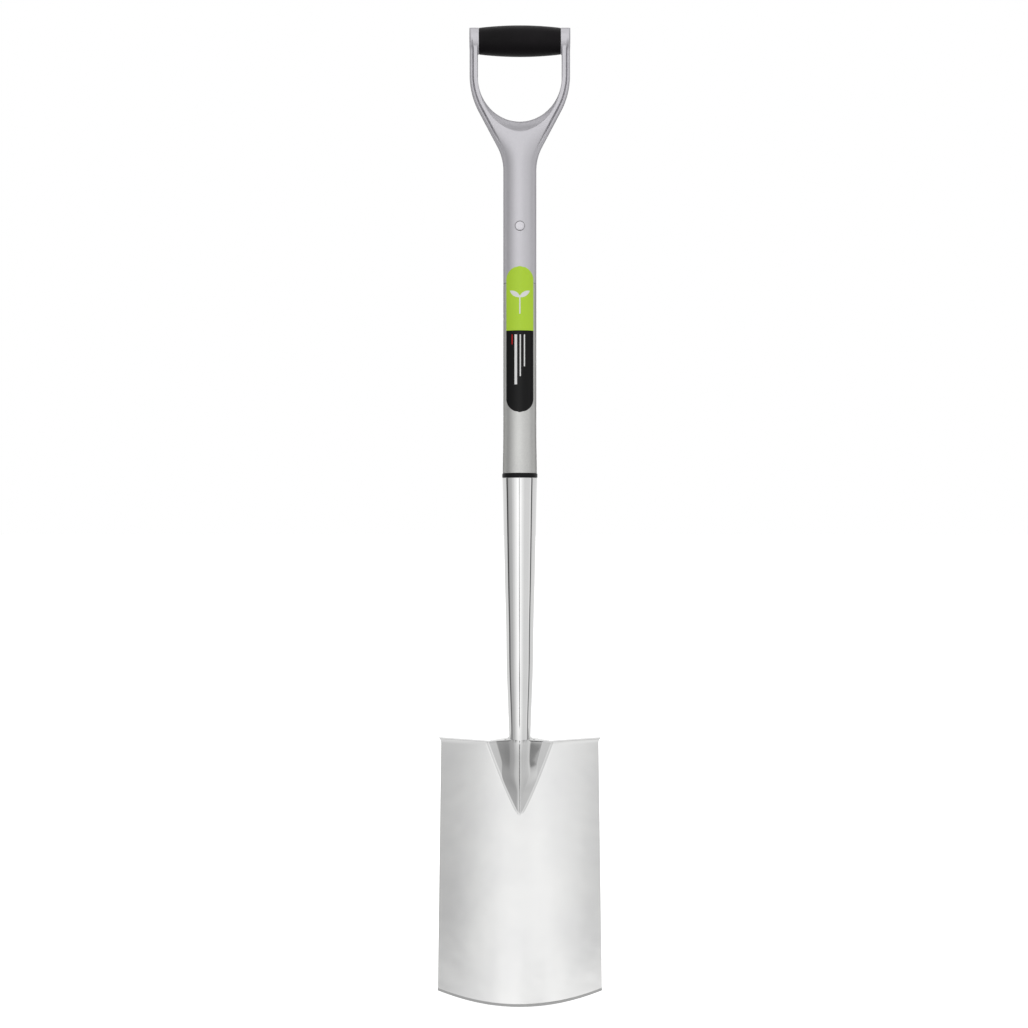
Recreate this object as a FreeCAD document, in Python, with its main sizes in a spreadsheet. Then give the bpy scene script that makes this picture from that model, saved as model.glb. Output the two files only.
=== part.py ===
import FreeCAD, Part
import math
import os
import Sketcher
from FreeCAD import Placement, Rotation, Vector

# A long garden spade with a D handle. Millimetres, +Z up, the shaft's axis is the Z axis, the
# lowest point of the cutting edge is at Z = 0 and the blade's hollow face looks towards -Y.

os.makedirs("parts", exist_ok=True)
doc = FreeCAD.newDocument("garden_spade")

# ---------------------------------------------------------------- driving sizes

SIZES = {
    # blade: pressed stainless sheet
    "sheet": 2.0,             # thickness of the pressed sheet
    "pan_y": 12.0,            # hollow face on the centreline, at the fold
    "lean": 36.0,             # how far the cutting edge stands forward of the fold
    "curl_top": 12.0,         # how far the sides curl forward, at the fold
    "curl_edge": 9.0,         # the same at the cutting edge
    "half_top": 91.9,         # half width under the tread
    "half_edge": 95.0,        # half width at the cutting edge
    "edge_arc": 20.6,         # rise of the cutting edge from its middle to its corners
    "bevel": 3.2,             # height of the ground bevel
    "edge_land": 0.5,         # thickness left at the edge itself
    "fold_neck": 306.4,       # height of the tread's fold beside the neck
    "fold_frog": 302.6,       # the same at the frog's corners
    "fold_side": 307.6,       # the same at the blade's sides
    "tread_depth": 13.0,      # how far the tread is folded back
    "tread_half": 94.6,       # half length of the tread, its horns included
    "frog_tip": 219.1,        # height of the frog's point
    "frog_half": 37.0,        # half width of the frog at the fold
    # socket: rolled tube, welded to the tread
    "socket_foot": 308.4,
    "socket_top": 613.6,
    "socket_wall": 1.5,
    "neck_r": 12.5,           # outer radii, from the foot to the mouth
    "throat_r": 13.9,
    "swell_r": 15.5,
    "waist_r": 16.1,
    "middle_r": 17.4,
    "upper_r": 18.6,
    "shoulder_r": 19.6,
    "mouth_r": 20.3,
    "weld_leg": 6.0,
    "weld_rise": 4.6,
    "weld_angle": 210.0,      # how far round the neck it runs, from the back
    # shaft
    "tube_r": 15.9,
    "tube_wall": 1.5,
    "tube_foot": 500.0,
    "tube_top": 958.0,
    "shaft_r": 19.25,
    "flare_r": 19.85,         # the sleeve's radius where it meets the collar
    "flare_z": 664.0,
    "shank_foot": 840.0,      # lower end of the handle moulding
    "joint_gap": 0.4,
    # collar
    "collar_r": 20.6,
    "collar_tall": 5.2,
    "collar_round": 1.6,
    "spigot_top_r": 18.6,
    "spigot_foot_r": 17.7,
    "spigot_long": 22.0,
    # fasteners
    "rivet_z": 905.6,
    "rivet_r": 2.5,
    "rivet_head_r": 5.5,
    "rivet_head": 1.6,
    "rivet_seat": 19.1,       # where the socket rivet's head sits
    "rivet_seat_y": 17.9,     # floor of the handle rivet's sinks
    "socket_rivet_z": 560.0,
    "slack": 0.05,            # radial clearance of the fitted pieces
    # D handle
    "axis_z": 1123.4,         # axis of the bar and the grip
    "arm_half": 58.6,         # half width over the arms
    "rib": 3.3,               # how far the arm's outer rib stands out
    "rib_depth": 9.0,         # half depth of that rib
    "arm_depth": 13.5,        # half depth of the arms
    "flank_low": 986.8,       # corners of the Y's straight flanks
    "flank_high": 1061.4,
    "flank_low_r": 60.0,      # their blends
    "flank_high_r": 88.0,
    "blend_foot": 24.0,       # how far below the flanks the Y starts inside the shank
    "eye_half": 49.1,         # the hand opening
    "eye_rise": 52.6,
    "eye_z": 1082.1,
    "eye_lip": 14.0,          # how much lower the opening's rim is on both faces
    "boss_r": 15.5,
    "boss_in": 47.6,
    "boss_out": 58.9,
    "bar_r": 12.0,
    "grip_mid_r": 18.2,
    "grip_end_r": 15.4,
    # sticker
    "label_foot": 689.4,
    "label_top": 858.9,
    "label_half": 15.6,       # half width seen from the front
    "label_thick": 0.2,
}

sheet = doc.addObject("Spreadsheet::Sheet", "size")
for row, (alias, value) in enumerate(SIZES.items(), start=1):
    sheet.set(f"A{row}", alias)
    sheet.set(f"B{row}", str(value))
    sheet.setAlias(f"B{row}", alias)
doc.recompute()


def size(alias):
    return float(getattr(sheet, alias))


# ---------------------------------------------------------------- helpers

parts = []


def keep(feature, name):
    feature.Label = name
    parts.append((name, feature))
    return feature


def on_plane(body, name, role="XZ_Plane"):
    """An empty sketch on one of the body's own origin planes."""
    sketch = body.newObject("Sketcher::SketchObject", name)
    plane = next(each for each in body.Origin.OriginFeatures if each.Role == role)
    sketch.AttachmentSupport = [(plane, "")]
    sketch.MapMode = "FlatFace"
    doc.recompute()
    return sketch


def hold(sketch, kind, first, second, text):
    """Holds a distance between two points of a sketch at an expression of the sheet."""
    value = float(sketch.evalExpression(text))
    index = sketch.addConstraint(Sketcher.Constraint(kind, *first, *second, value))
    sketch.setExpression(f"Constraints[{index}]", text)


def draw_outline(sketch, corners):
    """A closed outline: a corner is (across, up); (across, up, round) leaves by an arc instead,
    whose middle stands at the expression round, over the sketch's vertical axis."""
    spots = [Vector(*(float(sketch.evalExpression(text)) for text in corner[:2]), 0)
             for corner in corners]
    count = len(corners)
    for index, corner in enumerate(corners):
        start, end = spots[index], spots[(index + 1) % count]
        if len(corner) == 3:
            middle = Vector(0, float(sketch.evalExpression(corner[2])), 0)
            sketch.addGeometry(Part.Arc(start, middle, end))
        else:
            sketch.addGeometry(Part.LineSegment(start, end))
    clockwise = {index: spots[index].x < spots[(index + 1) % count].x
                 for index, corner in enumerate(corners) if len(corner) == 3}
    begin = {index: 2 if clockwise.get(index) else 1 for index in range(count)}
    finish = {index: 1 if clockwise.get(index) else 2 for index in range(count)}
    for index in range(count):
        after = (index + 1) % count
        joint = Sketcher.Constraint("Coincident", index, finish[index], after, begin[after])
        sketch.addConstraint(joint)
    for index, corner in enumerate(corners):
        hold(sketch, "DistanceX", (-1, 1), (index, begin[index]), corner[0])
        hold(sketch, "DistanceY", (-1, 1), (index, begin[index]), corner[1])
        if len(corner) == 3:
            crown = sketch.addGeometry(Part.Point(Vector(0, spots[index].y, 0)), True)
            sketch.addConstraint(Sketcher.Constraint("PointOnObject", crown, 1, -2))
            hold(sketch, "DistanceY", (-1, 1), (crown, 1), corner[2])
            sketch.addConstraint(Sketcher.Constraint("PointOnObject", crown, 1, index))


def turned(name, corners, axis="V_Axis", plane="XZ_Plane", lift=None, angle=None):
    """A turned piece: the outline goes round the sketch's own axis."""
    body = doc.addObject("PartDesign::Body", name)
    profile = on_plane(body, f"{name}_profile", plane)
    draw_outline(profile, corners)
    turn = body.newObject("PartDesign::Revolution", f"{name}_turn")
    turn.Profile = profile
    turn.ReferenceAxis = (profile, [axis])
    turn.Angle = 360.0
    if angle:
        turn.Midplane = True
        turn.setExpression("Angle", angle)
    body.Placement = Placement(Vector(0, 0, 0), Rotation())
    if lift:
        body.setExpression("Placement.Base.z", lift)
    doc.recompute()
    return body


def drill(body, name, height, radius, where):
    """A round hole along Y: through both walls of a tube, or through its back wall only."""
    sketch = on_plane(body, f"{name}_spot")
    circle = sketch.addGeometry(Part.Circle(Vector(0, 1, 0), Vector(0, 0, 1), 1.0))
    sketch.addConstraint(Sketcher.Constraint("PointOnObject", circle, 3, -2))
    hold(sketch, "DistanceY", (-1, 1), (circle, 3), height)
    index = sketch.addConstraint(Sketcher.Constraint("Radius", circle, 1.0))
    sketch.setExpression(f"Constraints[{index}]", radius)
    before = body.Shape.Volume
    hole = body.newObject("PartDesign::Pocket", name)
    hole.Profile = sketch
    hole.Type = "ThroughAll"
    hole.Midplane = where == "both"
    doc.recompute()
    assert body.Shape.Volume < before, f"{name} cut nothing"


def free_form(name, shape):
    """A one-solid piece whose curved shape neither sketches nor primitives can give."""
    assert len(shape.Solids) == 1, f"{name} fell apart"
    feature = doc.addObject("Part::Feature", name)
    feature.Shape = shape.Solids[0]
    feature.Placement = Placement(Vector(0, 0, 0), Rotation())
    return feature


def polygon(points):
    vectors = [Vector(*point) for point in points]
    return Part.makePolygon(vectors + vectors[:1])


def prism(points, run):
    """A flat polygon of points pushed along the vector run."""
    return Part.Face(polygon(points)).extrude(Vector(*run))


def smooth_curve(points):
    curve = Part.BSplineCurve()
    curve.interpolate([Vector(*point) for point in points])
    return curve.toShape()


def mirrored_stations(values):
    """The stations of one half, then the whole row from left to right."""
    return [-value for value in reversed(values) if value] + list(values)


# ---------------------------------------------------------------- blade


def fold_height(across):
    """Height of the tread's fold: down from the neck to the frog's corners, up to the sides."""
    across = abs(across)
    if across <= size("frog_half"):
        share = max(0.0, (across - size("neck_r")) / (size("frog_half") - size("neck_r")))
        return size("fold_neck") + share * (size("fold_frog") - size("fold_neck"))
    share = (across - size("frog_half")) / (size("half_top") - size("frog_half"))
    return size("fold_frog") + share * (size("fold_side") - size("fold_frog"))


def edge_height(across):
    return size("edge_arc") * (across / size("half_edge")) ** 2


def pan_face(across, height):
    """Y of the pan's hollow face, without the frog."""
    down = 1.0 - height / size("fold_neck")
    curl = size("curl_top") + (size("curl_edge") - size("curl_top")) * down
    return size("pan_y") - size("lean") * down - curl * (across / size("half_edge")) ** 2


def frog_half_at(height):
    share = (height - size("frog_tip")) / (size("fold_frog") - size("frog_tip"))
    return size("frog_half") * max(share, 0.0) ** 0.85


def frog_crown(height):
    """How far the frog's ridge stands in front of the pan: as far as the neck at the fold."""
    share = (height - size("frog_tip")) / (size("fold_neck") - size("frog_tip"))
    return (size("pan_y") + size("neck_r")) * max(share, 0.0)


def bell(share):
    """Cross-section of the frog: a ramp at its crease, then a rounded ridge."""
    share = min(abs(share), 1.0)
    return 0.2 * (1.0 - share) + 0.8 * (1.0 - share ** 2) ** 2


def frog_wedge(shares, inset, behind):
    """The frog's bulk behind its face. inset moves the face into the sheet, behind is how far
    the bulk reaches behind the pan's face, and shares are the heights of its sections."""
    wires = []
    for share in shares:
        height = size("frog_tip") + share * (size("socket_foot") - size("frog_tip"))
        half = frog_half_at(height) - inset
        crown = frog_crown(height)
        steps = [step / 6.0 for step in range(-6, 7)]
        front = [(step * half, pan_face(step * half, height) - crown * bell(step) + inset, height)
                 for step in steps]
        rear = pan_face(0.0, height) + behind
        corners = [front[-1], (half, rear, height), (-half, rear, height), front[0]]
        edges = [smooth_curve(front)]
        edges += [Part.makeLine(Vector(*a), Vector(*b)) for a, b in zip(corners, corners[1:])]
        wires.append(Part.Wire(edges))
    return Part.makeLoft(wires, True, False)


def pan_solid():
    """The dished sheet with its ground cutting edge."""
    half, thick = size("half_edge"), size("sheet")
    wires = []
    for across in mirrored_stations([0.0, half * 0.35, half * 0.7, half]):
        low, top = edge_height(across), fold_height(across) + thick * 0.5
        ground = low + size("bevel")
        rear = pan_face(across, low) + thick
        profile = [(rear, low), (rear - size("edge_land"), low),
                   (pan_face(across, ground), ground), (pan_face(across, top), top),
                   (pan_face(across, top) + thick, top)]
        wires.append(polygon([(across, depth, height) for depth, height in profile]))
    return Part.makeLoft(wires, True, False)


def tread_stations():
    corner = size("frog_half")
    row = [0.0, size("neck_r"), corner * 0.66, corner, corner * 1.7, size("tread_half")]
    return mirrored_stations(row)


def tread_solid():
    """The strip folded back along the top, whose front follows the pan and the frog."""
    wires = []
    for across in tread_stations():
        fold = fold_height(across)
        front = pan_face(across, fold) - frog_crown(fold) * bell(across / size("frog_half"))
        back = pan_face(across, fold) + size("tread_depth")
        top = fold + size("sheet")
        wires.append(polygon([(across, front, fold), (across, back, fold),
                              (across, back, top), (across, front, top)]))
    return Part.makeLoft(wires, True, True)


def side_waste(hand):
    """What lies outside one side of the blade, below the tread."""
    reach, fold = size("half_edge") + 5.0, size("fold_side") - 0.01
    points = [(hand * size("half_top"), -80, fold), (hand * size("half_edge"), -80, 0),
              (hand * reach, -80, -5), (hand * reach, -80, fold)]
    return prism(points, (0, 160, 0))


def above_fold(lift):
    """Everything higher than the fold by lift."""
    row = tread_stations()
    line = [(across, -80, fold_height(across) + lift) for across in row]
    return prism(line + [(row[-1], -80, 400), (row[0], -80, 400)], (0, 160, 0))


def make_blade():
    thick = size("sheet")
    pan = pan_solid().cut([side_waste(-1), side_waste(1)])
    frog = frog_wedge((0.03, 0.12, 0.3, 0.5, 0.75, 1.0), 0.0, thick * 0.5)
    hollow = frog_wedge((0.12, 0.3, 0.5, 0.75, 1.0), thick, thick + 4.0)
    frog = frog.cut(above_fold(thick))
    hollow = hollow.cut(above_fold(0.0))
    return pan.fuse([frog, tread_solid()]).cut(hollow).removeSplitter()


blade = keep(free_form("blade", make_blade()), "blade")

# ---------------------------------------------------------------- socket and its weld


def ring_sketch(body, name, height, radius):
    """A circle round the shaft's axis at a height, both expressions of the sheet."""
    sketch = on_plane(body, name, "XY_Plane")
    sketch.setExpression("AttachmentOffset.Base.z", height)
    circle = sketch.addGeometry(Part.Circle(Vector(0, 0, 0), Vector(0, 0, 1), 10.0))
    sketch.addConstraint(Sketcher.Constraint("Coincident", circle, 3, -1, 1))
    index = sketch.addConstraint(Sketcher.Constraint("Radius", circle, 10.0))
    sketch.setExpression(f"Constraints[{index}]", radius)
    return sketch


def make_socket():
    """The rolled taper: a loft through rings, hollowed by the same loft one wall smaller."""
    body = doc.addObject("PartDesign::Body", "socket")
    stations = (("neck_r", 0.0), ("throat_r", 0.13), ("swell_r", 0.27), ("waist_r", 0.42),
                ("middle_r", 0.58), ("upper_r", 0.76), ("shoulder_r", 0.92), ("mouth_r", 1.0))
    for kind, less in (("AdditiveLoft", ""), ("SubtractiveLoft", " - size.socket_wall")):
        rings = []
        for radius, share in stations:
            height = f"size.socket_foot + {share} * (size.socket_top - size.socket_foot)"
            name = f"socket_{kind}_{radius}"
            rings.append(ring_sketch(body, name, height, f"size.{radius}{less}"))
        loft = body.newObject(f"PartDesign::{kind}", f"socket_{kind}")
        loft.Profile = rings[0]
        loft.Sections = rings[1:]
        doc.recompute()
    return body


socket = keep(make_socket(), "socket")
drill(socket, "socket_rivet_hole", "size.socket_rivet_z", "size.rivet_r + size.slack", "back")

weld_bead = turned("weld_bead", [
    ("size.neck_r", "size.socket_foot - 1.5"),
    ("size.neck_r + size.weld_leg", "size.socket_foot - 1.5"),
    ("size.neck_r + size.weld_leg", "size.socket_foot - 0.6"),
    ("size.neck_r + size.weld_leg * 0.35", "size.socket_foot + size.weld_rise * 0.35"),
    ("size.neck_r + 0.3", "size.socket_foot + size.weld_rise"),
], angle="size.weld_angle")
weld_bead.Placement = Placement(Vector(0, 0, 0), Rotation(Vector(0, 0, 1), 90))
weld_on_tread = doc.addObject("Part::Cut", "weld_on_tread")
weld_on_tread.Base, weld_on_tread.Tool = weld_bead, blade
neck_weld = doc.addObject("Part::Cut", "neck_weld")
neck_weld.Base, neck_weld.Tool = weld_on_tread, socket
keep(neck_weld, "neck_weld")

# ---------------------------------------------------------------- shaft, collar and rivets

shaft_tube = keep(turned("shaft_tube", [
    ("size.tube_r - size.tube_wall", "size.tube_foot"),
    ("size.tube_r", "size.tube_foot"),
    ("size.tube_r", "size.tube_top"),
    ("size.tube_r - size.tube_wall", "size.tube_top"),
]), "shaft_tube")
drill(shaft_tube, "tube_rivet_hole", "size.rivet_z", "size.rivet_r + size.slack", "both")
drill(shaft_tube, "tube_socket_hole", "size.socket_rivet_z", "size.rivet_r + size.slack", "back")

collar_ring = keep(turned("collar_ring", [
    ("size.tube_r + size.slack", "size.socket_top - size.spigot_long"),
    ("size.spigot_foot_r", "size.socket_top - size.spigot_long"),
    ("size.spigot_top_r", "size.socket_top"),
    ("size.collar_r - size.collar_round", "size.socket_top"),
    ("size.collar_r", "size.socket_top + size.collar_round"),
    ("size.collar_r", "size.socket_top + size.collar_tall - size.collar_round"),
    ("size.collar_r - size.collar_round", "size.socket_top + size.collar_tall"),
    ("size.tube_r + size.slack", "size.socket_top + size.collar_tall"),
]), "collar_ring")

shaft_sleeve = keep(turned("shaft_sleeve", [
    ("size.tube_r + size.slack", "size.socket_top + size.collar_tall"),
    ("size.flare_r", "size.socket_top + size.collar_tall"),
    ("size.shaft_r", "size.flare_z"),
    ("size.shaft_r", "size.shank_foot - size.joint_gap"),
    ("size.tube_r + size.slack", "size.shank_foot - size.joint_gap"),
]), "shaft_sleeve")

socket_rivet = keep(turned("socket_rivet", [
    ("size.rivet_seat", "0"),
    ("size.rivet_seat + size.rivet_head", "0"),
    ("size.rivet_seat + size.rivet_head", "size.rivet_head_r * 0.45"),
    ("size.rivet_seat + size.rivet_head * 0.4", "size.rivet_head_r * 0.85"),
    ("size.rivet_seat", "size.rivet_head_r * 0.85"),
    ("size.rivet_seat", "size.rivet_r"),
    ("size.tube_r - size.tube_wall - size.slack", "size.rivet_r"),
    ("size.tube_r - size.tube_wall - size.slack", "size.rivet_r * 1.5"),
    ("size.tube_r - size.tube_wall * 2.2", "size.rivet_r * 1.5"),
    ("size.tube_r - size.tube_wall * 2.2", "0"),
], axis="H_Axis", plane="YZ_Plane", lift="size.socket_rivet_z"), "socket_rivet")

handle_rivet = keep(turned("handle_rivet", [
    ("-size.rivet_seat_y - size.rivet_head", "0"),
    ("size.rivet_seat_y + size.rivet_head", "0"),
    ("size.rivet_seat_y + size.rivet_head", "size.rivet_head_r * 0.5"),
    ("size.rivet_seat_y + size.rivet_head * 0.6", "size.rivet_head_r"),
    ("size.rivet_seat_y", "size.rivet_head_r"),
    ("size.rivet_seat_y", "size.rivet_r"),
    ("-size.rivet_seat_y", "size.rivet_r"),
    ("-size.rivet_seat_y", "size.rivet_head_r"),
    ("-size.rivet_seat_y - size.rivet_head * 0.6", "size.rivet_head_r"),
    ("-size.rivet_seat_y - size.rivet_head", "size.rivet_head_r * 0.5"),
], axis="H_Axis", plane="YZ_Plane", lift="size.rivet_z"), "handle_rivet")

# ---------------------------------------------------------------- handle moulding


def outline_half(height):
    """Half width of the Y: straight shank, blend, straight flank, blend, straight arm."""
    low, high = size("flank_low"), size("flank_high")
    slope = math.atan2(size("arm_half") - size("shaft_r"), high - low)
    low_r, high_r = size("flank_low_r"), size("flank_high_r")
    starts = low - low_r * math.tan(slope / 2)
    ends = high + high_r * math.tan(slope / 2)
    if height <= starts:
        return size("shaft_r")
    if height >= ends:
        return size("arm_half")
    if height - starts < low_r * math.sin(slope):
        return size("shaft_r") + low_r - math.sqrt(low_r ** 2 - (height - starts) ** 2)
    if ends - height < high_r * math.sin(slope):
        return size("arm_half") - high_r + math.sqrt(high_r ** 2 - (ends - height) ** 2)
    return size("shaft_r") + (height - low) * math.tan(slope)


def ease(value, start, end):
    """0 before start, 1 after end, and a smooth step between them."""
    share = min(max((value - start) / (end - start), 0.0), 1.0)
    return share * share * (3.0 - 2.0 * share)


def rounded_ring(half_x, half_y, power, height):
    """A closed curve between an ellipse (power 2) and a rounded rectangle (higher powers)."""
    points = []
    for step in range(32):
        turn = math.tau * step / 32
        across = math.copysign(abs(math.cos(turn)) ** (2.0 / power), math.cos(turn))
        deep = math.copysign(abs(math.sin(turn)) ** (2.0 / power), math.sin(turn))
        points.append(Vector(half_x * across, half_y * deep, height))
    curve = Part.BSplineCurve()
    curve.interpolate(Points=points, PeriodicFlag=True)
    return Part.Wire(curve.toShape())


def yoke_lofts():
    """The Y's body, which starts just inside the shank, and the rib along its flanks and arms."""
    low, top = size("flank_low"), size("axis_z") - size("boss_r") * 0.6
    foot = low - size("blend_foot")
    inside = size("shaft_r") - size("slack")
    body, rib = [rounded_ring(inside, inside, 2.0, foot)], []
    for share in (0.1, 0.22, 0.34, 0.46, 0.58, 0.7, 0.85, 1.0):
        height = foot + share * (top - foot)
        spread = ease(height, low, low + 45.0)
        half = outline_half(height)
        deep = size("shaft_r") + (size("arm_depth") - size("shaft_r")) * spread
        body.append(rounded_ring(half - size("rib") * spread, deep, 2.0 + 2.5 * spread, height))
        rib_deep = 4.0 + (size("rib_depth") - 4.0) * spread
        hidden = 3.0 * (1.0 - ease(height, foot, low + 14.0))
        rib.append(rounded_ring(half - hidden, rib_deep, 2.5 + spread, height))
    return [Part.makeLoft(body, True, False), Part.makeLoft(rib, True, False)]


def eye_wire(depth, lip):
    """The hand opening's outline at one depth: straight sides and half an ellipse below."""
    half, middle = size("eye_half"), size("eye_z")
    high = size("axis_z") + size("boss_r") * 2
    bottom = [(half * math.cos(turn), depth, middle + (size("eye_rise") + lip) * math.sin(turn))
              for turn in (-math.pi * step / 12 for step in range(13))]
    corners = [bottom[-1], (-half, depth, high), (half, depth, high), bottom[0]]
    edges = [smooth_curve(bottom)]
    edges += [Part.makeLine(Vector(*a), Vector(*b)) for a, b in zip(corners, corners[1:])]
    return Part.Wire(edges)


def make_yoke():
    shank_long = size("flank_low") - size("blend_foot") + 4.0 - size("shank_foot")
    shank = Part.makeCylinder(size("shaft_r"), shank_long, Vector(0, 0, size("shank_foot")))
    lip, reach = size("eye_lip"), size("arm_depth") + 1.5
    sections = ((-1.6, 1.6), (-1.0, 1.0), (-0.35, 0.12), (0.0, 0.0), (0.35, 0.12), (1.0, 1.0),
                (1.6, 1.6))
    eye = Part.makeLoft([eye_wire(place * reach, share * lip) for place, share in sections],
                        True, False)
    yoke = shank.fuse(yoke_lofts()).cut(eye)
    solids = []
    for hand in (-1, 1):
        inner = Vector(hand * size("boss_in"), 0, size("axis_z"))
        boss = Part.makeCylinder(size("boss_r"), size("boss_out") - size("boss_in"), inner,
                                 Vector(hand, 0, 0))
        outer_rim = max(boss.Edges, key=lambda edge: abs(edge.CenterOfMass.x))
        solids.append(boss.makeFillet(2.5, [outer_rim]))
    solids.append(Part.makeCylinder(size("bar_r"), 2 * size("boss_out") - 10,
                                    Vector(5 - size("boss_out"), 0, size("axis_z")),
                                    Vector(1, 0, 0)))
    yoke = yoke.fuse(solids)
    bore_r = size("tube_r") + size("slack")
    bore = Part.makeCylinder(bore_r, size("tube_top") + 1.0 - size("shank_foot"),
                             Vector(0, 0, size("shank_foot")))
    mouth = size("rivet_head_r") + 0.35
    hole = Part.makeCylinder(size("rivet_r") + size("slack"), 60,
                             Vector(0, -30, size("rivet_z")), Vector(0, 1, 0))
    sinks = [Part.makeCylinder(mouth, 6, Vector(0, hand * size("rivet_seat_y"), size("rivet_z")),
                               Vector(0, hand, 0)) for hand in (-1, 1)]
    return yoke.cut([bore, hole] + sinks).removeSplitter()


handle_yoke = keep(free_form("handle_yoke", make_yoke()), "handle_yoke")

grip = keep(turned("grip", [
    ("-size.boss_in + 0.1", "size.bar_r + size.slack"),
    ("size.boss_in - 0.1", "size.bar_r + size.slack"),
    ("size.boss_in - 0.1", "size.grip_end_r", "size.grip_mid_r"),
    ("-size.boss_in + 0.1", "size.grip_end_r"),
], axis="H_Axis", lift="size.axis_z"), "grip")

# ---------------------------------------------------------------- sticker


def make_label():
    """A thin skin on the shaft, cut to a long round-ended shape seen from the front."""
    long = size("label_top") - size("label_foot")
    inner_r = size("shaft_r") + 0.02
    foot = Vector(0, 0, size("label_foot"))
    skin = Part.makeCylinder(inner_r + size("label_thick"), long, foot)
    skin = skin.cut(Part.makeCylinder(inner_r, long, foot))
    half = size("label_half")
    window = Part.makeBox(2 * half, 30, long - 2 * half,
                          Vector(-half, -30, size("label_foot") + half))
    ends = [Part.makeCylinder(half, 30, Vector(0, -30, height), Vector(0, 1, 0))
            for height in (size("label_foot") + half, size("label_top") - half)]
    return skin.common(window.fuse(ends)).removeSplitter()


label = keep(free_form("label", make_label()), "label")

# ---------------------------------------------------------------- test and write

doc.recompute()
for thing in doc.Objects:
    bad = [state for state in thing.State if state in ("Invalid", "Error")]
    assert not bad, f"{thing.Name} is {bad}"
for name, feature in parts:
    shape = feature.Shape
    assert not shape.isNull() and shape.isValid(), f"{name} has no valid shape"
    shape.exportStep(f"parts/{name}.step")
    print(f"{name}: {len(shape.Solids)} solid, {shape.Volume / 1000:.1f} cm3")
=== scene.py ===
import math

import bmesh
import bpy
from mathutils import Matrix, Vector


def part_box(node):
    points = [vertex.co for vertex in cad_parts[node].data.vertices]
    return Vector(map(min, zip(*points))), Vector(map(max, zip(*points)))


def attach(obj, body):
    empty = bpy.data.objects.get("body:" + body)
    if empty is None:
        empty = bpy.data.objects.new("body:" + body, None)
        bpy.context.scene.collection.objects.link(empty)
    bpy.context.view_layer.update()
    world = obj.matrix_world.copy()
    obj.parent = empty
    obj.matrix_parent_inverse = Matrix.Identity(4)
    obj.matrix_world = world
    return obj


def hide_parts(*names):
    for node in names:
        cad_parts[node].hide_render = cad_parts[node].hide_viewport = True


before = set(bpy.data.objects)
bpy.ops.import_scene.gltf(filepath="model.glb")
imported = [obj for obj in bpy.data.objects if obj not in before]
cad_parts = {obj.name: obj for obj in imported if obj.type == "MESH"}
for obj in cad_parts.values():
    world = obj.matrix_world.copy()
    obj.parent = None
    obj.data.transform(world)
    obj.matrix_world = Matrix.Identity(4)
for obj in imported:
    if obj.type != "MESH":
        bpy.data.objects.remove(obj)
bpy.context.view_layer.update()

# %% [markdown]
# # A garden spade, built round its measured frame
# The frame loaded above holds every piece at its true place and size, in metres. This lesson
# gives each piece the fine surface that the plain frame leaves out: rolled and dressed
# stainless steel, a satin silver moulding, a soft black grip and a printed sticker.
# Shapes are worked out in millimetres, because that is how a maker would measure a spade, and
# become metres at the moment when a mesh is made.

MM = 0.001
WELD_GAP = 0.002  # points nearer than this, in millimetres, become one


def box_mm(node):
    """Lowest and highest corner of a frame node, in millimetres."""
    low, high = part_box(node)
    return low / MM, high / MM


# %% [markdown]
# ## From numbers to meshes
# Nearly every surface here is a grid: rows of points that are joined into four-sided faces. A
# subdivided box would need sculpting to follow these curves, while a grid takes its points
# straight from a formula, so its faces flow along the steel the way the press and the roller
# moved it. The helpers below turn a grid into an object and give it its place in the spade.

# %% Grids and pieces


def grid_faces(rows, columns, wrap=False):
    """Four-sided faces over a grid of points. wrap joins the last column to the first."""
    faces = []
    for row in range(rows - 1):
        for column in range(columns if wrap else columns - 1):
            after = (column + 1) % columns
            here, there = row * columns, (row + 1) * columns
            faces.append((here + column, here + after, there + after, there + column))
    return faces


def mesh_of(name, points, faces, sharp=50.0):
    """A smooth-shaded object from points in millimetres. Doubled points are welded, and edges
    sharper than an angle stay crisp."""
    shape = bmesh.new()
    corners = [shape.verts.new(Vector(point) * MM) for point in points]
    for face in faces:
        shape.faces.new([corners[index] for index in face])
    bmesh.ops.remove_doubles(shape, verts=shape.verts, dist=WELD_GAP * MM)
    bmesh.ops.recalc_face_normals(shape, faces=shape.faces)
    for face in shape.faces:
        face.smooth = True
    mesh = bpy.data.meshes.new(name)
    shape.to_mesh(mesh)
    shape.free()
    mesh.set_sharp_from_angle(angle=math.radians(sharp))
    piece = bpy.data.objects.new(name, mesh)
    bpy.context.scene.collection.objects.link(piece)
    return piece


def fit_piece(piece, node, finish):
    """Puts a made piece in the place of its frame node, in its finish."""
    piece.data.materials.append(finish)
    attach(piece, "root")
    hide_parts(node)
    print(piece.name, "has", len(piece.data.polygons), "faces")
    return piece


def ease(value, start, end):
    """0 before start, 1 after end, and a smooth step between them."""
    share = min(max((value - start) / (end - start), 0.0), 1.0)
    return share * share * (3.0 - 2.0 * share)


def mix(first, second, share):
    """The value a share of the way from the first to the second."""
    return first + (second - first) * share


def spread_steps(start, end, count):
    """count + 1 even steps from start to end."""
    return [mix(start, end, step / count) for step in range(count + 1)]


# %% [markdown]
# ## Turned pieces
# The socket, sleeve, collar, rivets and grip are all round. Each is drawn as one closed outline
# and swung round its axis, as on a lathe. A corner of the outline may carry a radius, because no
# real edge is perfectly sharp, and the small curve is what catches the light.

# %% The lathe


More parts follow.
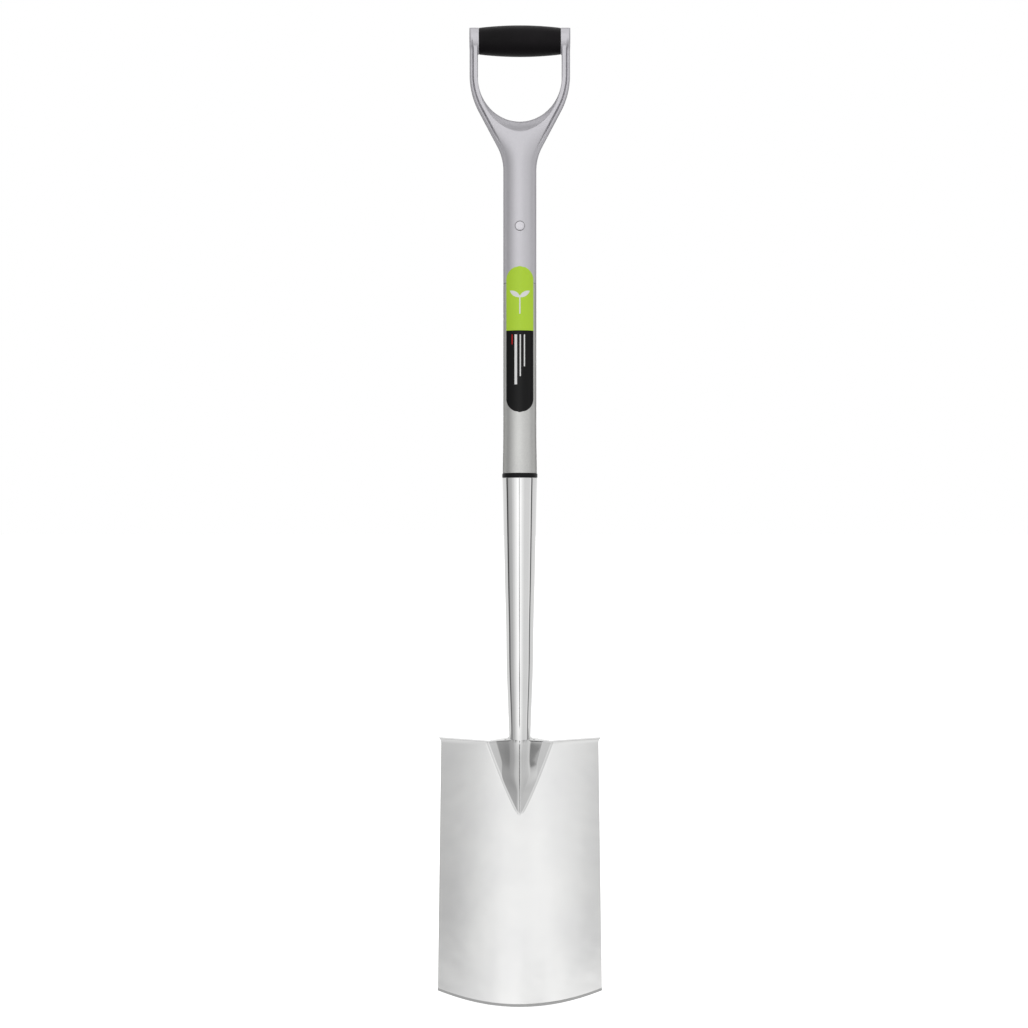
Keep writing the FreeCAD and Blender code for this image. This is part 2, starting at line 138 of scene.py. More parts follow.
def rounded(corners, steps=5):
    """A closed outline of (across, up, radius) corners, with each corner eased into a curve."""
    outline = []
    for index, (across, up, radius) in enumerate(corners):
        here = Vector((across, up))
        back = Vector(corners[index - 1][:2]) - here
        ahead = Vector(corners[(index + 1) % len(corners)][:2]) - here
        if not radius:
            outline.append(here)
            continue
        reach = min(radius / math.tan(back.angle(ahead) / 2), back.length * 0.45, ahead.length * 0.45)
        start, end = here + back.normalized() * reach, here + ahead.normalized() * reach
        outline.append(start + back.normalized() * reach * 0.1)
        for share in spread_steps(0.0, 1.0, steps):
            outline.append(start * (1 - share) ** 2 + here * 2 * share * (1 - share) + end * share ** 2)
        outline.append(end + ahead.normalized() * reach * 0.1)
    return outline


def lathe(outline, way, lift, turns=128):
    """Points and faces of a closed outline of (radius, along) swung round the x, y or z axis."""
    points = []
    for step in range(turns):
        angle = math.tau * step / turns
        for radius, along in outline:
            ring = (radius * math.cos(angle), radius * math.sin(angle))
            spot = {"x": (along, *ring), "y": (ring[0], along, ring[1]), "z": (*ring, along)}[way]
            points.append((spot[0], spot[1], spot[2] + lift))
    points += points[:len(outline)]
    return points, grid_faces(turns + 1, len(outline), wrap=True)


def turned(name, outline, way="z", lift=0.0):
    points, faces = lathe(outline, way, lift)
    return mesh_of(name, points, faces)


# %% [markdown]
# ## Finishes
# Every finish starts from one shader and a few textures laid over the piece's own coordinates,
# so that grain stays at its true size. A colour alone looks like a toy. What makes polished steel
# read as steel is the faint streaking that the polishing belt leaves and the way it
# scatters light along one direction, and what makes a moulding read as plastic is its shallow
# orange-peel skin.

# %% A small kit for finishes


class Finish:
    """One material and the few node tricks that its finish needs."""

    def __init__(self, name, colour, metallic, roughness):
        self.material = bpy.data.materials.new(name)
        self.material.use_nodes = True
        self.tree = self.material.node_tree
        self.shader = self.tree.nodes["Principled BSDF"]
        self.set(**{"Base Color": (*colour, 1.0), "Metallic": metallic, "Roughness": roughness})
        self.place = self.add("ShaderNodeTexCoord").outputs["Object"]

    def set(self, **values):
        """Constants on the shader's own sockets."""
        for socket, value in values.items():
            self.shader.inputs[socket].default_value = value

    def add(self, kind, settings=None, **inputs):
        """A new node, with its settings and its inputs. An input's spaces are written as _."""
        node = self.tree.nodes.new(kind)
        for key, value in (settings or {}).items():
            setattr(node, key, value)
        for socket, value in inputs.items():
            self.feed(value, node.inputs[socket.replace("_", " ")])
        return node

    def feed(self, value, socket):
        if isinstance(value, bpy.types.NodeSocket):
            self.tree.links.new(value, socket)
        else:
            socket.default_value = value

    def stretched(self, scale):
        """The piece's coordinates, squeezed by a different amount along each axis."""
        return self.add("ShaderNodeMapping", Vector=self.place, Scale=scale).outputs["Vector"]

    def noise(self, scale, detail=3.0, vector=None):
        """Soft random clouds between 0 and 1."""
        cloud = self.add("ShaderNodeTexNoise", Vector=vector or self.place, Scale=scale, Detail=detail)
        return cloud.outputs["Fac"]

    def between(self, value, low, high):
        """The middle of a texture's range stretched from low to high."""
        stretch = self.add("ShaderNodeMapRange", Value=value)
        for socket, level in (("From Min", 0.3), ("From Max", 0.7), ("To Min", low), ("To Max", high)):
            stretch.inputs[socket].default_value = level
        return stretch.outputs["Result"]

    def tint(self, value, under, over):
        """One colour where value is 0 and the other where it is 1. Either may be a texture's."""
        paint = self.add("ShaderNodeMix", {"data_type": "RGBA"})
        self.feed(value, paint.inputs[0])
        pair = [socket for socket in paint.inputs if socket.type == "RGBA"]
        for socket, colour in zip(pair, (under, over)):
            self.feed((*colour, 1.0) if isinstance(colour, tuple) else colour, socket)
        return next(socket for socket in paint.outputs if socket.type == "RGBA")

    def bumps(self, *layers):
        """Stacks bumps: each layer is (height texture, strength, distance in mm)."""
        normal = None
        for height, strength, distance in layers:
            bump = self.add("ShaderNodeBump", Height=height, Strength=strength, Distance=distance * MM)
            if normal:
                self.feed(normal, bump.inputs["Normal"])
            normal = bump.outputs["Normal"]
        self.feed(normal, self.shader.inputs["Normal"])

    def wire(self, **sources):
        """Textures into the shader's sockets."""
        for socket, value in sources.items():
            self.feed(value, self.shader.inputs[socket.replace("_", " ")])


# %% [markdown]
# Stainless steel leaves the polishing wheel nearly as a mirror. The wheel runs round the socket
# and along the blade, so the leftover streaks are stretched noise, a hundred times longer than
# they are wide. They tilt the surface by less than a degree, which is enough to soften
# a reflection along one way and leave it crisp along the other.

# %% Stainless steel


def stainless(name, roughness, streak, streak_depth, wave=0.02, bright=0.63):
    """Polished steel. streak squeezes the noise along x, y and z, streak_depth is how deep the
    streaks are, wave how deep the slow waviness is, and bright is how much light comes back."""
    steel = Finish(name, (bright, bright, bright), 1.0, roughness)
    lines = steel.noise(1.0, 4.0, steel.stretched(streak))
    clouds = steel.noise(18.0, 3.0)
    steel.wire(
        Base_Color=steel.tint(steel.between(clouds, 0.0, 1.0), (bright - 0.02,) * 3,
                              (bright + 0.02, bright + 0.02, bright + 0.015)),
        Roughness=steel.between(clouds, roughness * 0.8, roughness * 1.25),
    )
    steel.bumps((lines, 0.25, streak_depth), (steel.noise(42.0, 1.0), 1.0, wave))
    return steel.material


BLADE_STEEL = stainless("blade_polished_steel", 0.09, (900.0, 900.0, 9.0), 0.004, 0.12, 0.56)
SOCKET_STEEL = stainless("socket_mirror_steel", 0.045, (30.0, 30.0, 1400.0), 0.001)
GROUND_STEEL = stainless("ground_edge_steel", 0.34, (2200.0, 2200.0, 90.0), 0.01)
WELD_STEEL = stainless("dressed_weld_steel", 0.2, (600.0, 600.0, 600.0), 0.01)
print("steels:", [steel.name for steel in (BLADE_STEEL, SOCKET_STEEL, GROUND_STEEL, WELD_STEEL)])

# %% [markdown]
# The handle is silver-coloured plastic, not metal: its flakes shine, but the skin over them
# scatters the light, so it is a metallic shader at little more than half strength. The shaft's
# coat is a baked powder with a fine peel. The blacks are never pure black, because every
# moulded surface has pebbles that catch some light.

# %% Satin mouldings, rubber and small metal


def silver_moulding():
    """The handle's metallic plastic: fine bright flake under a satin skin."""
    skin = Finish("silver_moulding", (0.57, 0.56, 0.59), 0.62, 0.4)
    skin.set(**{"Specular Tint": (0.0, 0.0, 0.0, 1.0), "Specular IOR Level": 0.1})
    flake = skin.noise(2600.0, 1.0)
    drift = skin.noise(14.0, 2.0)
    skin.wire(
        Base_Color=skin.tint(skin.between(flake, 0.0, 1.0), (0.53, 0.52, 0.55), (0.62, 0.61, 0.64)),
        Roughness=skin.between(drift, 0.38, 0.46),
    )
    skin.bumps((skin.noise(700.0, 2.0), 0.12, 0.03), (flake, 0.08, 0.01))
    return skin.material


def sleeve_coat():
    """The shaft's warm grey coat, with the soft peel of a baked powder."""
    coat = Finish("sleeve_coat", (0.54, 0.54, 0.53), 1.0, 0.43)
    coat.set(**{"Specular Tint": (0.0, 0.0, 0.0, 1.0)})
    peel = coat.noise(900.0, 2.0)
    coat.wire(
        Base_Color=coat.tint(coat.between(peel, 0.0, 1.0), (0.55, 0.55, 0.54), (0.62, 0.62, 0.605)),
        Roughness=coat.between(coat.noise(20.0), 0.42, 0.5),
    )
    coat.bumps((peel, 0.15, 0.03))
    return coat.material


def black_rubber(name, colour, roughness, grain, depth):
    """Moulded black: pebbled by its mould, a little paler where the pebbles catch dust."""
    rubber = Finish(name, colour, 0.0, roughness)
    rubber.set(**{"Specular IOR Level": 0.11})
    pebbles = rubber.add("ShaderNodeTexVoronoi", Vector=rubber.place, Scale=grain)
    height = pebbles.outputs["Distance"]
    pale = tuple(level * 1.7 for level in colour)
    rubber.wire(
        Base_Color=rubber.tint(rubber.between(rubber.noise(40.0), 0.0, 1.0), colour, pale),
        Roughness=rubber.between(rubber.noise(90.0), roughness * 0.9, roughness * 1.15),
    )
    rubber.bumps((height, 0.35, depth), (rubber.noise(25.0), 0.1, 0.1))
    return rubber.material


def satin_metal(name, colour, roughness, streak):
    """Plain bright metal with the faint lines that drawing or turning leaves."""
    metal = Finish(name, colour, 1.0, roughness)
    lines = metal.noise(1.0, 3.0, metal.stretched(streak))
    metal.wire(Roughness=metal.between(lines, roughness * 0.8, roughness * 1.3))
    metal.bumps((lines, 0.3, 0.01))
    return metal.material


SILVER = silver_moulding()
SLEEVE = sleeve_coat()
GRIP_RUBBER = black_rubber("grip_rubber", (0.0035, 0.0028, 0.0035), 0.48, 900.0, 0.12)
COLLAR_RUBBER = black_rubber("collar_rubber", (0.006, 0.006, 0.0065), 0.4, 1500.0, 0.03)
RIVET_METAL = satin_metal("rivet_aluminium", (0.58, 0.57, 0.60), 0.32, (700.0, 60.0, 700.0))
TUBE_METAL = satin_metal("drawn_tube_steel", (0.40, 0.40, 0.41), 0.35, (900.0, 900.0, 12.0))
print("finishes:", len(bpy.data.materials))

# %% [markdown]
# ## The blade
# The blade is one sheet, two millimetres thick. The press dishes it, pushes up the V-shaped
# frog that stiffens it under the neck, and folds its top edge back as a tread for the
# boot. It could be modelled as a flat grid with a solidify modifier, but the fold and the ground
# edge then have to be faked. Here each column of the grid is a whole slice through the
# sheet, from the cutting edge up the front, over the fold and down the back.

# %% The blade's sizes
BLADE_LOW, BLADE_HIGH = box_mm("blade")
SOCKET_LOW, SOCKET_HIGH = box_mm("socket")
SHEET = 2.0
PAN_Y, LEAN = 12.0, 36.0
CURL_TOP, CURL_EDGE = 12.0, 9.0
HALF_EDGE, HALF_TOP = BLADE_HIGH.x, 91.9
EDGE_ARC, BEVEL, EDGE_LAND = 20.6, 3.2, 0.5
FOLD_NECK, FOLD_FROG, FOLD_SIDE = 306.4, 302.6, 307.6
TREAD_DEPTH, TREAD_HALF = 13.0, 94.6
FROG_TIP, FROG_HALF, NECK_R = 219.1, 37.0, 12.5
RIDGE_R, RIDGE_TIP_R, TOE_SLOPE, LEVEL_OFF = 12.2, 4.0, 0.5, 16.0
CREASE_SOFT, CREASE_LINE, CREASE_OUT, CREASE_WIDE = 0.3, 0.5, 0.9, 0.75


def fold_height(across):
    """Height of the tread's fold: down from the neck to the frog's corners, up to the sides."""
    across = abs(across)
    if across <= FROG_HALF:
        return mix(FOLD_NECK, FOLD_FROG, max(0.0, (across - NECK_R) / (FROG_HALF - NECK_R)))
    return mix(FOLD_FROG, FOLD_SIDE, (across - FROG_HALF) / (HALF_TOP - FROG_HALF))


def edge_height(across):
    """Height of the cutting edge, which is lowest at the blade's middle."""
    return BLADE_LOW.z + EDGE_ARC * (across / HALF_EDGE) ** 2


def pan_face(across, height):
    """Y of the dished face, without the frog."""
    down = 1.0 - height / FOLD_NECK
    return PAN_Y - LEAN * down - mix(CURL_TOP, CURL_EDGE, down) * (across / HALF_EDGE) ** 2


def frog_half_at(height):
    """Half width of the frog: a V whose sides bow out a little."""
    return FROG_HALF * max((height - FROG_TIP) / (FOLD_FROG - FROG_TIP), 0.0) ** 0.85


def crown_at(height):
    """How far the frog's ridge stands proud of the dish. It levels off under the neck, so that
    the ridge runs on into the socket."""
    share = max((height - FROG_TIP) / (FOLD_NECK - FROG_TIP), 0.0)
    level = min((FOLD_NECK - height) / LEVEL_OFF, 1.0)
    return (PAN_Y + NECK_R) * share ** 1.12 + 0.8 * (1.0 - (1.0 - level) ** 2) * ease(share, 0.0, 0.6)


def ridge_fall(across, half, height):
    """How far the frog's section has fallen from its ridge: a round top, a straight flank and a
    shallower toe. Towards the frog's point the toe dies out and the ridge grows sharper."""
    knee = half * mix(1.0, 0.72, ease(height, 256.0, 284.0))
    inner = min(across, knee)
    radius = mix(RIDGE_TIP_R, RIDGE_R, ease(height, 244.0, 268.0))
    top = inner ** 2 / (2 * radius) if inner < radius else inner - radius / 2
    return top + TOE_SLOPE * max(across - knee, 0.0)


def front_face(across, height):
    """Y of the blade's front, with a rolled line where the frog's crease meets the dish."""
    across = abs(across)
    half = max(frog_half_at(height), 0.3)
    if height <= FROG_TIP:
        proud = 0.3 * (height - FROG_TIP) - 0.056 * across ** 2
    else:
        fall = ridge_fall(across, half, height) / ridge_fall(half, half, height)
        proud = crown_at(height) * (1.0 - fall)
    eased = (proud + math.sqrt(proud ** 2 + CREASE_SOFT ** 2)) / 2
    line = math.exp(-((across - half - CREASE_OUT) / CREASE_WIDE) ** 2)
    line *= ease(height, FROG_TIP, FROG_TIP + 6.0)
    return pan_face(across, height) - eased - CREASE_LINE * line


print("sheet leans", round(math.degrees(math.atan2(LEAN, FOLD_NECK)), 1), "degrees")

# %% Columns and rows of the blade's grid


def column_shares():
    """Places across half the blade, as (share of the frog, share of the rest). Columns crowd
    together at the frog's knee and crease and at the blade's side."""
    inside = spread_steps(0.0, 0.66, 20) + spread_steps(0.68, 0.76, 5) + spread_steps(0.78, 1.0, 16)
    outside = spread_steps(0.004, 0.04, 9) + [0.05, 0.07, 0.1, 0.13] + spread_steps(0.18, 0.96, 22)
    outside += [0.98, 0.992, 1.0]
    return [(share, 0.0) for share in inside] + [(1.0, share) for share in outside]


def side_at(height):
    """Half width of the blade, which narrows slightly towards its top."""
    return mix(HALF_EDGE, HALF_TOP, min(max(height / FOLD_SIDE, 0.0), 1.0))


def across_at(share, height):
    """Where a column stands at a height: its frog columns close in towards the frog's point."""
    frog = max(frog_half_at(height), 3.0)
    return frog * share[0] + (side_at(height) - frog) * share[1]


def front_point(share, height):
    """A column's point on the blade's front at a height."""
    across = across_at(share, height)
    return Vector((across, front_face(across, height), height))


def slice_of_blade(share):
    """One column: a closed loop of points through the sheet, from the edge up, over and down."""
    foot = across_at(share, 0.0)
    ground = edge_height(foot) + BEVEL
    fold = fold_height(across_at(share, FOLD_SIDE))
    heights = [ground + 0.15, ground + 0.5]
    heights += spread_steps(ground + 2.0, 205.0, 44)[:-1] + spread_steps(205.0, fold - 2.5, 90)
    front = [front_point(share, height) for height in heights]
    rear = []
    step = 0.4
    for height, here in zip(heights, front):
        along = front_point(share, height + step) - front_point(share, height - step)
        wide = front_face(here.x + step, height) - front_face(here.x - step, height)
        normal = Vector((2 * step, wide, 0)).cross(along).normalized()
        behind = here + normal * (-SHEET if normal.y < 0 else SHEET)
        rear.append(Vector((min(behind.x, side_at(height)), behind.y, behind.z)))
    neck = 1.0 - ease(here.x, 7.0, NECK_R + 1.0)
    top = fold + SHEET
    bend = mix(2.6, 0.02, neck)
    brow = front_point(share, fold)
    reach = TREAD_HALF / HALF_TOP
    lip = Vector((brow.x, brow.y, top))
    fold_line = []
    for share_round in spread_steps(0.0, 1.0, 6):
        angle = share_round * math.pi / 2
        widen = mix(1.0, reach, share_round)
        fold_line.append(Vector((brow.x * widen, brow.y + bend * (1 - math.cos(angle)),
                                 top - bend * (1 - math.sin(angle)))))
    back = pan_face(brow.x, fold) + TREAD_DEPTH
    tread = [Vector((lip.x * reach, mix(fold_line[-1].y, back - 0.8, place), top))
             for place in (0.15, 0.4, 0.7, 1.0)]
    tread += [Vector((lip.x * reach, back - 0.25, top - 0.2)), Vector((lip.x * reach, back, top - 0.8)),
              Vector((lip.x * reach, back, fold + 0.8)), Vector((lip.x * reach, back - 0.25, fold + 0.2)),
              Vector((lip.x * reach, back - 0.8, fold))]
    inner = rear[-1]
    tread += [Vector((mix(lip.x * reach, inner.x, place), mix(back - 0.8, inner.y + 0.9, place), fold))
              for place in (0.4, 0.8, 1.0)]
    tread.append(Vector((inner.x, inner.y + 0.2, fold - 0.7)))
    low = edge_height(foot)
    land_y = pan_face(foot, low) + SHEET
    edge = [Vector((foot, land_y, low)), Vector((foot, land_y - EDGE_LAND, low))]
    bevel = [Vector((mix(edge[1].x, front[0].x, place), mix(edge[1].y, front[0].y, place),
                     mix(low, ground + 0.15, place))) for place in (0.04, 0.35, 0.65, 0.95)]
    return edge[1:] + bevel + front + fold_line + tread + rear[::-1] + edge[:1]


def make_blade():
    """Both halves of the sheet, side by side, with their two open sides closed by strips."""
    half = [slice_of_blade(share) for share in column_shares()]
    flipped = [[Vector((-spot.x, spot.y, spot.z)) for spot in column] for column in half[:0:-1]]
    columns = flipped + half
    count = len(columns[0])
    points = [spot for column in columns for spot in column]
    faces = grid_faces(len(columns), count, wrap=True)
    last = (len(columns) - 1) * count
    for base in (0, last):
        for step in range(count // 2 - 1):
            left, right = step, count - 1 - step
            faces.append(tuple(base + index for index in (left, left + 1, right - 1, right)))
    return mesh_of("blade_sheet", points, faces)


blade = fit_piece(make_blade(), "blade", BLADE_STEEL)
blade.data.materials.append(GROUND_STEEL)
FACES_DOWN = -0.05
for face in blade.data.polygons:
    middle = face.center / MM
    face.material_index = int(middle.z < edge_height(middle.x) + BEVEL and face.normal.z < FACES_DOWN)

# %% [markdown]
# ## The socket
# The socket is a flat blank rolled into a long taper and closed along its back, then welded to
# the tread. Its outline swells gently above the neck, so a straight cone would look wrong
# beside the real thing. A smooth curve through a few measured radii gives the swell.

# %% The socket's taper
SOCKET_RADII = ((0.0, 12.5), (0.13, 13.9), (0.27, 15.5), (0.42, 16.1), (0.58, 17.4), (0.76, 18.6),
                (0.92, 19.6), (1.0, 20.3))
INTO_FOLD, SOCKET_WALL = 1.4, 1.5
FULLER, FULL_FROM, FULL_TO = 0.05, 20.0, 70.0


def through(stations, place):
    """A smooth value through (place, value) stations, whose slope never jumps."""
    last = len(stations) - 1
    index = max(0, min(sum(place >= spot for spot, _ in stations) - 1, last - 1))

    def slope(at):
        before, after = stations[max(at - 1, 0)], stations[min(at + 1, last)]
        return (after[1] - before[1]) / (after[0] - before[0])

    (start, low), (end, high) = stations[index], stations[index + 1]
    span = end - start
    t = (place - start) / span
    return ((2 * t ** 3 - 3 * t ** 2 + 1) * low + (t ** 3 - 2 * t ** 2 + t) * span * slope(index)
            + (3 * t ** 2 - 2 * t ** 3) * high + (t ** 3 - t ** 2) * span * slope(index + 1))


def make_socket():
    """The taper. Its foot runs a little way into the tread's fold, as a welded foot does, and its
    front is slightly fuller just above the neck."""
    wall, tall = SOCKET_WALL, SOCKET_HIGH.z - SOCKET_LOW.z
    outside = [(NECK_R, SOCKET_LOW.z - INTO_FOLD)]
    outside += [(through(SOCKET_RADII, share), SOCKET_LOW.z + share * tall)
                for share in spread_steps(0.0, 0.994, 90)]
    mouth = rounded([(outside[-1][0], outside[-1][1], 0), (SOCKET_HIGH.x, SOCKET_HIGH.z, 0.7),
                     (SOCKET_HIGH.x - wall, SOCKET_HIGH.z, 0.5),
                     (SOCKET_HIGH.x - wall, SOCKET_HIGH.z - 3, 0)], 3)
    inside = [(radius - wall, height) for radius, height in outside[::-3]]
    taper = turned("socket_taper", outside + [tuple(spot) for spot in mouth[1:-1]] + inside)
    for corner in taper.data.vertices:
        above = corner.co.z / MM - SOCKET_LOW.z
        if corner.co.y < 0:
            fuller = FULLER * (1.0 - math.exp(-above / 10.0)) * (1.0 - ease(above, FULL_FROM, FULL_TO))
            corner.co.y *= 1.0 + fuller
    return taper


socket = fit_piece(make_socket(), "socket", SOCKET_STEEL)

# %% [markdown]
# ## Collar, sleeve and rivets
# A black collar closes the socket's mouth, and its spigot centres the shaft there. The grey
# sleeve begins with a slight flare above the collar. Two domed rivets hold the spade together:
# one through the handle's shank, and one that is set from behind through the socket. All four
# are lathe work. Only the rivets lie along the y axis.

# %% Collar, sleeve and rivets
COLLAR_LOW, COLLAR_HIGH = box_mm("collar_ring")
SLEEVE_LOW, SLEEVE_HIGH = box_mm("shaft_sleeve")
TUBE_R, SHAFT_R, FLARE_Z = 15.9, 19.25, 664.0
SLIDE_FIT = 0.05
BORE_R = TUBE_R + SLIDE_FIT

collar_outline = rounded([
    (BORE_R, COLLAR_LOW.z, 0.2), (17.7, COLLAR_LOW.z, 0.6), (18.6, SOCKET_HIGH.z, 0),
    (COLLAR_HIGH.x, SOCKET_HIGH.z, 1.6), (COLLAR_HIGH.x, COLLAR_HIGH.z, 1.6),
    (BORE_R, COLLAR_HIGH.z, 0.2)])
collar = fit_piece(turned("collar_ring_black", collar_outline), "collar_ring",
                   COLLAR_RUBBER)

sleeve_outline = [tuple(spot) for spot in rounded([
    (BORE_R, SLEEVE_LOW.z, 0), (SLEEVE_HIGH.x, SLEEVE_LOW.z, 0.5),
    (SHAFT_R, SLEEVE_HIGH.z, 0.2), (BORE_R, SLEEVE_HIGH.z, 0)])]
flare = [(mix(SLEEVE_HIGH.x, SHAFT_R, ease(height, SLEEVE_LOW.z, FLARE_Z)), height)
         for height in spread_steps(SLEEVE_LOW.z + 2.0, FLARE_Z + 2.0, 12)]
split = next(index for index, spot in enumerate(sleeve_outline) if spot[1] > FLARE_Z)
sleeve_outline[split:split] = flare
sleeve = fit_piece(turned("shaft_sleeve_coated", sleeve_outline), "shaft_sleeve", SLEEVE)


def rivet_head(seat, hand, radius, tall):
    """Outline of a domed head that stands on its seat, pointing along hand."""
    dome = [(radius * math.cos(angle), seat + hand * tall * (0.45 + 0.55 * math.sin(angle)))
            for angle in spread_steps(math.radians(12), math.pi / 2, 8)]
    rim = [(radius * 0.97, seat), (radius, seat + hand * tall * 0.15), (radius, seat + hand * tall * 0.4)]
    return rim + dome


HANDLE_RIVET_LOW, HANDLE_RIVET_HIGH = box_mm("handle_rivet")
RIVET_Z = (HANDLE_RIVET_LOW.z + HANDLE_RIVET_HIGH.z) / 2
HEAD_R, HEAD_TALL, SHANK_R = HANDLE_RIVET_HIGH.x, 1.6, 2.5
SEAT = HANDLE_RIVET_HIGH.y - HEAD_TALL
front_head = rivet_head(-SEAT, -1, HEAD_R, HEAD_TALL)
rear_head = rivet_head(SEAT, 1, HEAD_R, HEAD_TALL)
rivet_outline = front_head[::-1] + [(SHANK_R, -SEAT), (SHANK_R, SEAT)] + rear_head
handle_rivet = fit_piece(turned("handle_rivet_domed", rivet_outline, "y", RIVET_Z), "handle_rivet",
                         RIVET_METAL)

BLIND_LOW, BLIND_HIGH = box_mm("socket_rivet")
BLIND_R, BLIND_Z = BLIND_HIGH.x, (BLIND_LOW.z + BLIND_HIGH.z) / 2
BLIND_BULB_R, BLIND_BULB_END, BLIND_SEAT = 3.75, 14.4, 19.1
blind_outline = [(0, BLIND_LOW.y), (BLIND_BULB_R - 0.35, BLIND_LOW.y), (BLIND_BULB_R, BLIND_LOW.y + 0.6),
                 (SHANK_R, BLIND_BULB_END), (SHANK_R, BLIND_SEAT)]
blind_outline += rivet_head(BLIND_SEAT, 1, BLIND_R, HEAD_TALL)
socket_rivet = fit_piece(turned("socket_rivet_domed", blind_outline, "y", BLIND_Z), "socket_rivet",
                         RIVET_METAL)
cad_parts["shaft_tube"].data.materials.clear()
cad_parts["shaft_tube"].data.materials.append(TUBE_METAL)

# %% [markdown]
# ## The weld round the neck
# A welder runs one bead round the back and sides of the neck, and each small puddle freezes as
# a ripple. A torus would be too even. Here the bead's section swells and shrinks along its
# path, and its foot follows the tread.

# %% The weld bead
WELD_LEG, WELD_RISE, WELD_ARC = 6.0, 4.6, math.radians(196)
RIPPLE_DEPTH, RIPPLES = 0.07, 34.0


def weld_section(angle):
    """The bead's quarter-round section at an angle round the neck, with its ripple."""
    ripple = 1.0 - RIPPLE_DEPTH * abs(math.sin(angle * RIPPLES))
    fade = ease(WELD_ARC / 2 - abs(angle), 0.0, 0.12)
    leg, rise = WELD_LEG * ripple * mix(0.5, 1.0, fade), WELD_RISE * ripple * mix(0.5, 1.0, fade)
    base = SOCKET_LOW.z - 0.3
    ring = [(NECK_R - 0.4, base), (NECK_R + leg, base)]
    for turn in spread_steps(0.2, math.pi / 2, 6):
        out, up = leg * (1 - math.sin(turn)) ** 1.4, rise * (1 - math.cos(turn)) ** 0.8
        ring.append((NECK_R + 0.2 + out, base + up))
    ring.append((NECK_R - 0.4, base + rise + 0.2))
    return [(radius * math.sin(angle), radius * math.cos(angle), height) for radius, height in ring]


def make_weld():
    """The bead: its sections in a row round the neck, with both ends closed."""
    sections = [weld_section(angle) for angle in spread_steps(-WELD_ARC / 2, WELD_ARC / 2, 220)]
    count = len(sections[0])
    points = [spot for section in sections for spot in section]
    faces = grid_faces(len(sections), count, wrap=True)
    faces += [tuple(range(count)), tuple(range((len(sections) - 1) * count, len(sections) * count))]
    return mesh_of("neck_weld_bead", points, faces)


weld = fit_piece(make_weld(), "neck_weld", WELD_STEEL)

# %% [markdown]
# ## The handle moulding
# The handle is one moulding: a round shank that spreads into a Y and rises as two arms to the
# grip. Booleans between a cylinder, a slab and an oval hole leave hard seams where they
# meet, and a moulded part has none. So one quarter of the moulding is drawn as a grid whose rows
# start on the hand opening's rim and end on the outer side, and mirrored twice. Rows
# fan out round the bottom of the opening, as the plastic flows there.

# %% The handle's sizes
YOKE_LOW, YOKE_HIGH = box_mm("handle_yoke")
GRIP_LOW, GRIP_HIGH = box_mm("grip")
AXIS_Z = (GRIP_LOW.z + GRIP_HIGH.z) / 2
ARM_HALF, ARM_DEPTH = 58.6, 13.5
RIM_WIDE, RIM_DEPTH, GROOVE, GROOVE_WIDE = 3.3, 9.0, 0.9, 2.0
FLANK_LOW, FLANK_HIGH, FLANK_LOW_R, FLANK_HIGH_R = 986.8, 1061.4, 60.0, 88.0
EYE_HALF, EYE_RISE, EYE_Z = 49.1, 52.6, 1082.1
EYE_LIP, EYE_LIP_DEPTH, EYE_LIP_CURVE = 14.0, 17.0, 1.35
BOSS_R, BOSS_IN, BOSS_OUT = YOKE_HIGH.z - AXIS_Z, 47.6, 58.9
BORE_END, FAN_START, FAN_FOOT, FAN_RISE = 959.0, 962.0, 1000.0, 38.0
EDGE_ROUND = 1.1
CRISP_FROM = 80.0  # degrees: the moulding's softer corners are shaded smooth


def outline_half(height):
    """Half width of the Y: straight shank, blend, straight flank, blend, straight arm."""
    slope = math.atan2(ARM_HALF - SHAFT_R, FLANK_HIGH - FLANK_LOW)
    starts = FLANK_LOW - FLANK_LOW_R * math.tan(slope / 2)
    ends = FLANK_HIGH + FLANK_HIGH_R * math.tan(slope / 2)
    if height <= starts:
        return SHAFT_R
    if height >= ends:
        return ARM_HALF
    if height - starts < FLANK_LOW_R * math.sin(slope):
        return SHAFT_R + FLANK_LOW_R - math.sqrt(FLANK_LOW_R ** 2 - (height - starts) ** 2)
    if ends - height < FLANK_HIGH_R * math.sin(slope):
        return ARM_HALF - FLANK_HIGH_R + math.sqrt(FLANK_HIGH_R ** 2 - (ends - height) ** 2)
    return SHAFT_R + (height - FLANK_LOW) * math.tan(slope)


# %% One row across the handle
COLUMNS, WALL_COLUMNS = 46, 7


def spread_at(height):
    """0 where the section is the round shank, 1 where it is an arm's."""
    return ease(height, FLANK_LOW - 4.0, FLANK_LOW + 52.0)


def depth_at(height):
    """Half depth of the front face at a height."""
    return mix(SHAFT_R, ARM_DEPTH, ease(height, FLANK_LOW - 6.0, FLANK_LOW + 84.0))


def arm_depth(at, depth, rim_depth, rim_wide, groove):
    """Depth of an arm's section at a distance from its outer side: a rounded rim, a narrow groove
    and the flat face."""
    if at < rim_wide:
        return rim_depth * (1.0 - (1.0 - at / rim_wide) ** 2.5) ** 0.31
    share = min((at - rim_wide) / GROOVE_WIDE, 1.0)
    dip = groove * math.sin(math.pi * min(share * 1.8, 1.0)) ** 2
    return mix(rim_depth, depth, ease(share, 0.42, 1.0)) - dip


